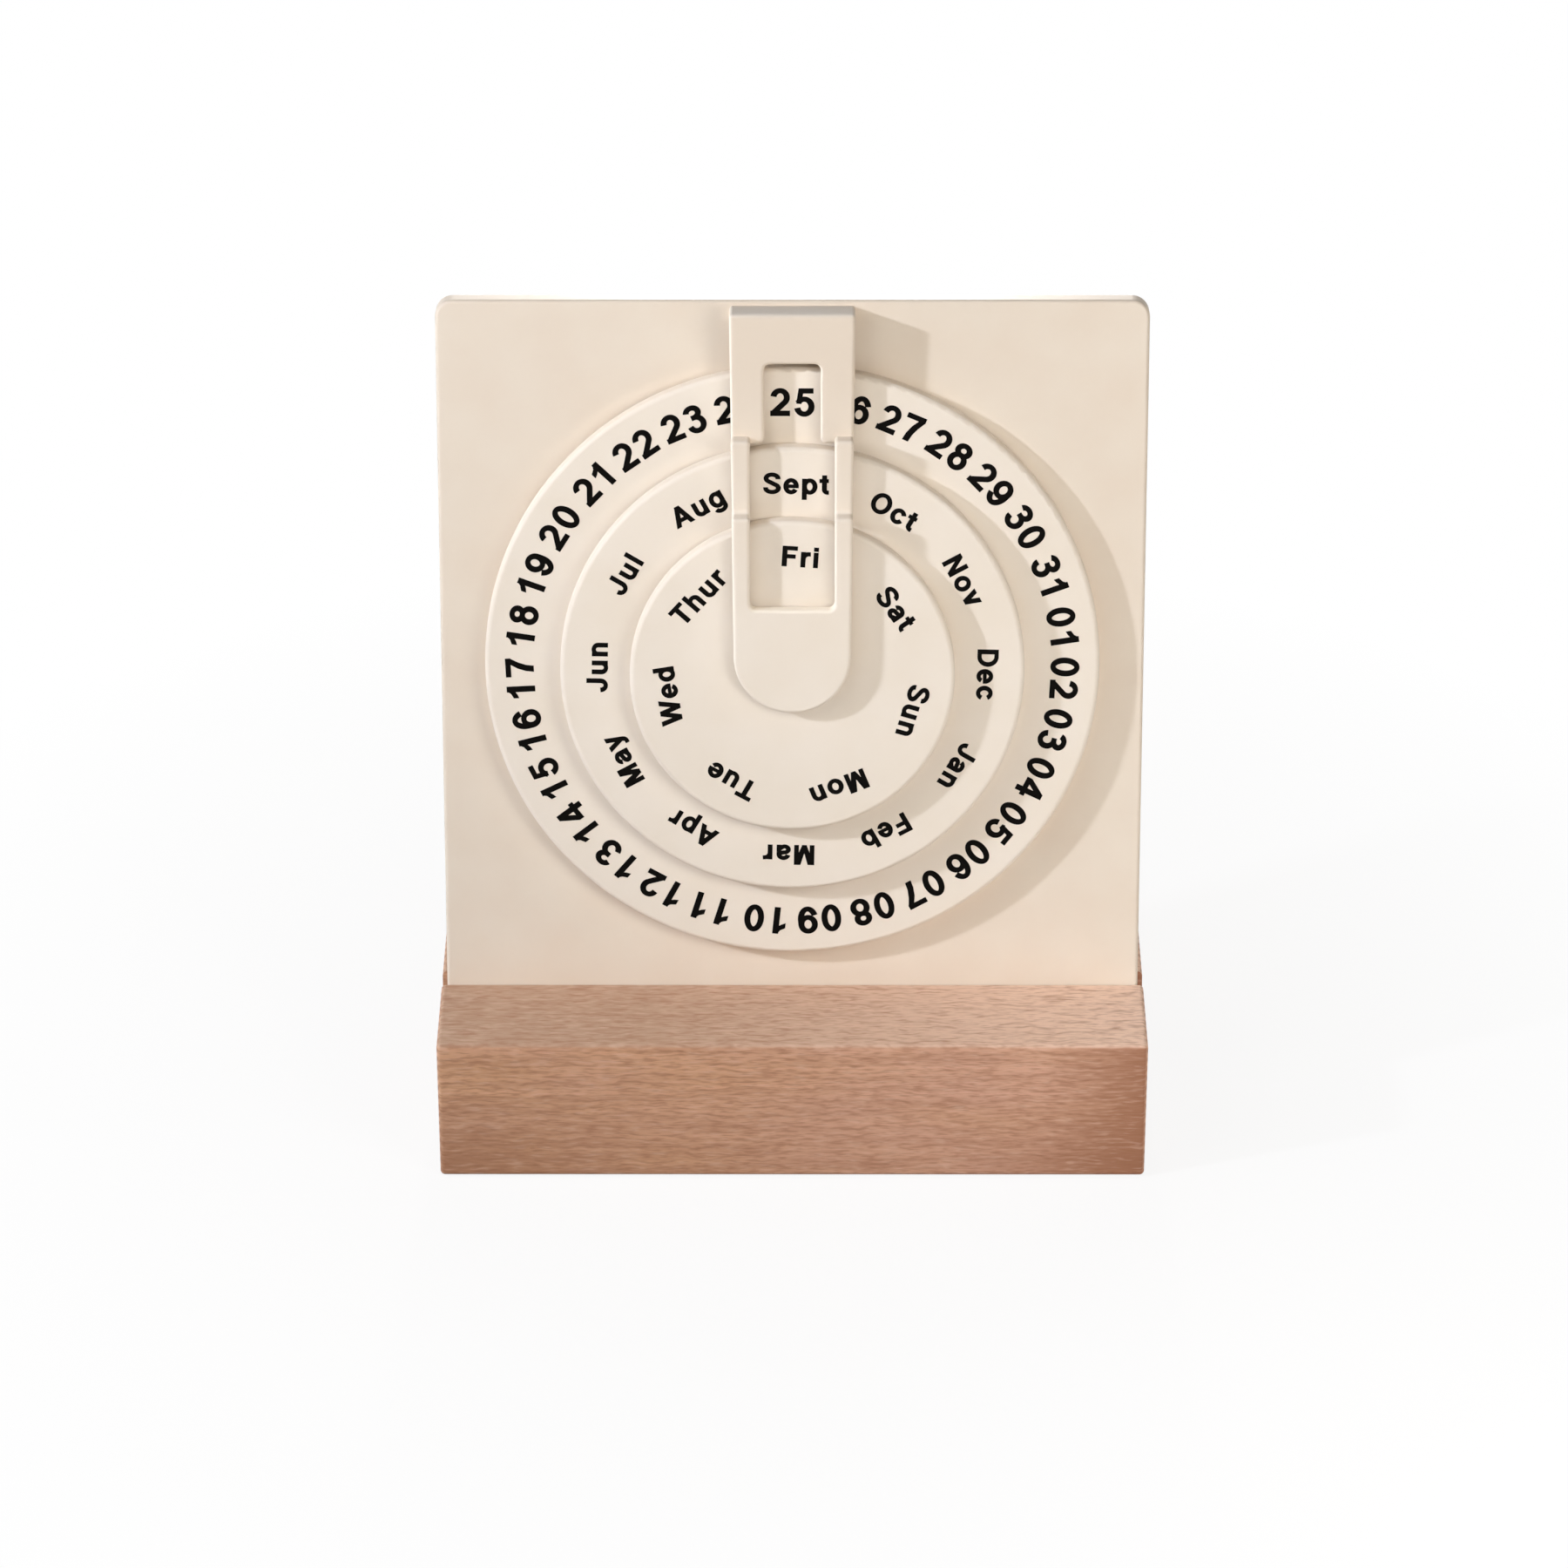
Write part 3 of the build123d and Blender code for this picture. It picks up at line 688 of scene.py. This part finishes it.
# Each lamp: its place, which all but the front lamp have in the panel's axes, its width, power and colour.
LAMPS = {
    "key": (PANEL @ Vector((-0.70, 0.315, 0.35)), 0.045, 4.55, DAYLIGHT),
    "window": (PANEL @ Vector((0.155, 0.075, 0.24)), 0.15, 0.31, CREAM_LIGHT),
    "upper_left": (PANEL @ Vector((-0.10, 0.12, 0.16)), 0.12, 0.105, PALE_LIGHT),
    "lower_right": (PANEL @ Vector((0.16, -0.10, 0.13)), 0.1, 0.14, PALE_LIGHT),
    "left": (PANEL @ Vector((-0.8, 0, 0.1)), 0.3, 1.1, CREAM_LIGHT),
    "rim": (PANEL @ Vector((0, 0.185, -0.9)), 0.05, 5.5, WARM_LIGHT),
    "front": (Vector((0.0, -1.4, 0.9)), 1.0, 1.5, WARM_LIGHT),
}


def white_to_camera(tree):
    """1 for rays that show the background: camera, glossy and transmission rays."""
    path = node(tree, "LightPath")
    shown = arithmetic(tree, "MAXIMUM", path.outputs["Is Camera Ray"], path.outputs["Is Glossy Ray"])
    return arithmetic(tree, "MAXIMUM", shown, path.outputs["Is Transmission Ray"])


def floor():
    """Large pale floor that fades to white and keeps a soft shadow near the object."""
    square = ((-1, -1), (1, -1), (1, 1), (-1, 1))
    corners = [(x * FLOOR_REACH, y * FLOOR_REACH, 0) for x, y in square]
    mesh = bpy.data.meshes.new("floor")
    mesh.from_pydata(corners, [], [(0, 1, 2, 3)])
    plane = bpy.data.objects.new("floor", mesh)
    plane.location.z = -FLOOR_DROP
    bpy.context.scene.collection.objects.link(plane)
    material, tree, surface = new_material("floor_paint", 0.9, specular=0.1)
    shown = white_to_camera(tree)
    paint = blend_colour(tree, shown, FLOOR_TONE, FLOOR_SHOWN)
    tree.links.new(paint, surface.inputs["Base Color"])
    coords = node(tree, "TexCoord")
    away = node(tree, "VectorMath", {0: coords.outputs["Object"]}, operation="LENGTH")
    fade = spread(tree, away.outputs["Value"], *SHADOW_RANGE, 0.88, 1.0)
    glow = node(tree, "Emission", {"Color": WHITE, "Strength": 1.0})
    mixed = node(tree, "MixShader", {"Fac": product(tree, fade, shown)})
    tree.links.new(surface.outputs["BSDF"], mixed.inputs[1])
    tree.links.new(glow.outputs["Emission"], mixed.inputs[2])
    tree.links.new(mixed.outputs["Shader"], tree.nodes["Material Output"].inputs["Surface"])
    mesh.materials.append(material)


def world_light():
    """Soft light from behind, square onto the plate's back; white where it shows."""
    world = bpy.data.worlds.new("studio")
    bpy.context.scene.world = world
    world.use_nodes = True
    tree = world.node_tree
    direction = node(tree, "TexCoord").outputs["Generated"]
    facing = node(tree, "VectorMath", {0: direction, 1: -AXIS_OUT}, operation="DOT_PRODUCT")
    behind = spread(tree, facing.outputs["Value"], 0.2, 0.9)
    ambient = blend_colour(tree, behind, AMBIENT_FRONT, AMBIENT_BACK)
    colour = blend_colour(tree, white_to_camera(tree), ambient, WHITE)
    background = tree.nodes["Background"]
    tree.links.new(colour, background.inputs["Color"])
    background.inputs["Strength"].default_value = 1.0


def area_light(name, position, size, power, colour):
    """Round softbox that looks at the dials' middle."""
    light = bpy.data.lights.new(name, "AREA")
    light.shape = "DISK"
    light.size = size
    light.energy = power
    light.color = colour
    lamp = bpy.data.objects.new(name, light)
    lamp.location = position
    lamp.rotation_mode = "QUATERNION"
    lamp.rotation_quaternion = (position - AXIS_POINT).to_track_quat("Z", "Y")
    lamp.visible_camera = False
    bpy.context.scene.collection.objects.link(lamp)


def camera():
    """Long lens at the photograph's viewing angle."""
    data = bpy.data.cameras.new("camera")
    data.sensor_width = SENSOR_WIDTH
    data.lens = FOCAL_PIXELS / PHOTO_SIZE * data.sensor_width
    data.clip_start = CLIP_NEAR
    data.clip_end = CLIP_FAR
    viewer = bpy.data.objects.new("camera", data)
    bpy.context.scene.collection.objects.link(viewer)
    forward = Vector((
        math.sin(CAMERA_YAW) * math.cos(CAMERA_PITCH),
        math.cos(CAMERA_YAW) * math.cos(CAMERA_PITCH),
        -math.sin(CAMERA_PITCH),
    ))
    level = Vector((math.cos(CAMERA_YAW), -math.sin(CAMERA_YAW), 0))
    upright = level.cross(forward)
    right = math.cos(CAMERA_ROLL) * level + math.sin(CAMERA_ROLL) * upright
    up = math.cos(CAMERA_ROLL) * upright - math.sin(CAMERA_ROLL) * level
    rotation = Matrix((right, up, -forward)).transposed().to_4x4()
    viewer.matrix_world = Matrix.Translation(CAMERA_TARGET - forward * CAMERA_DISTANCE) @ rotation
    bpy.context.scene.camera = viewer


floor()
world_light()
for lamp_name, (lamp_position, lamp_size, lamp_power, lamp_colour) in LAMPS.items():
    area_light(lamp_name, lamp_position, lamp_size, lamp_power, lamp_colour)
camera()
bpy.context.scene.view_settings.view_transform = "Standard"
